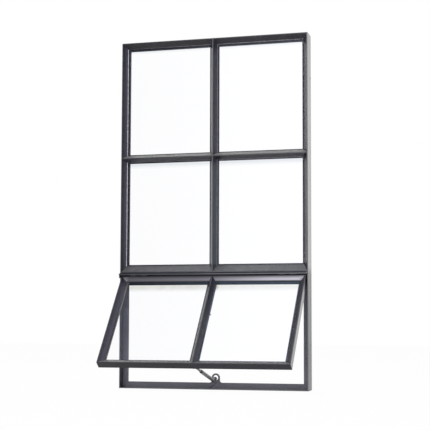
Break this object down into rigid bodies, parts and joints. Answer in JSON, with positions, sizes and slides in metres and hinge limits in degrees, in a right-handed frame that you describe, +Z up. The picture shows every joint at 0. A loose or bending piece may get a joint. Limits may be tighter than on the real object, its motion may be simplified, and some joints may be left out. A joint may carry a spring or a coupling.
{
  "type": "steel framed window with a top hung vent",
  "caption": "Tall puttied steel window with fixed panes over a top hung vent, which stands open on a hooked stay.",
  "frame": {"origin": "middle of the flat underside of the sill, half way through the depth of the frame", "axes": "+Z up, -Y outdoors, +Y into the room, +X to the right seen from outdoors"},
  "size_m": [0.663, 0.2885, 1.2],
  "materials": {
    "black_paint": "satin",
    "painted_putty": "satin",
    "clear_glass": "clear",
    "worn_steel": "worn"
  },
  "bodies": {
    "root": {"cross_bar_left": "black_paint", "cross_bar_right": "black_paint", "eye_plate": "black_paint", "frame_head": "black_paint", "frame_left_jamb": "black_paint", "frame_right_jamb": "black_paint", "frame_sill": "black_paint", "glass_middle_left": "clear_glass", "glass_middle_right": "clear_glass", "glass_top_left": "clear_glass", "glass_top_right": "clear_glass", "hinge_left_frame_leaf": "black_paint", "hinge_left_pin": "worn_steel", "hinge_left_vent_leaf": "black_paint", "hinge_right_frame_leaf": "black_paint", "hinge_right_pin": "worn_steel", "hinge_right_vent_leaf": "black_paint", "putty_levels": "painted_putty", "putty_uprights": "painted_putty", "stay_bracket": "black_paint", "stay_collar": "black_paint", "stay_pin": "worn_steel", "stay_rod": "worn_steel", "stay_tube": "black_paint", "transom": "black_paint", "vent_bar": "black_paint", "vent_bottom_rail": "black_paint", "vent_glass_left": "clear_glass", "vent_glass_right": "clear_glass", "vent_left_stile": "black_paint", "vent_putty_levels": "painted_putty", "vent_putty_uprights": "painted_putty", "vent_right_stile": "black_paint", "vent_top_rail": "black_paint", "vertical_bar": "black_paint", "weather_bar": "black_paint"}
  },
  "joints": []
}
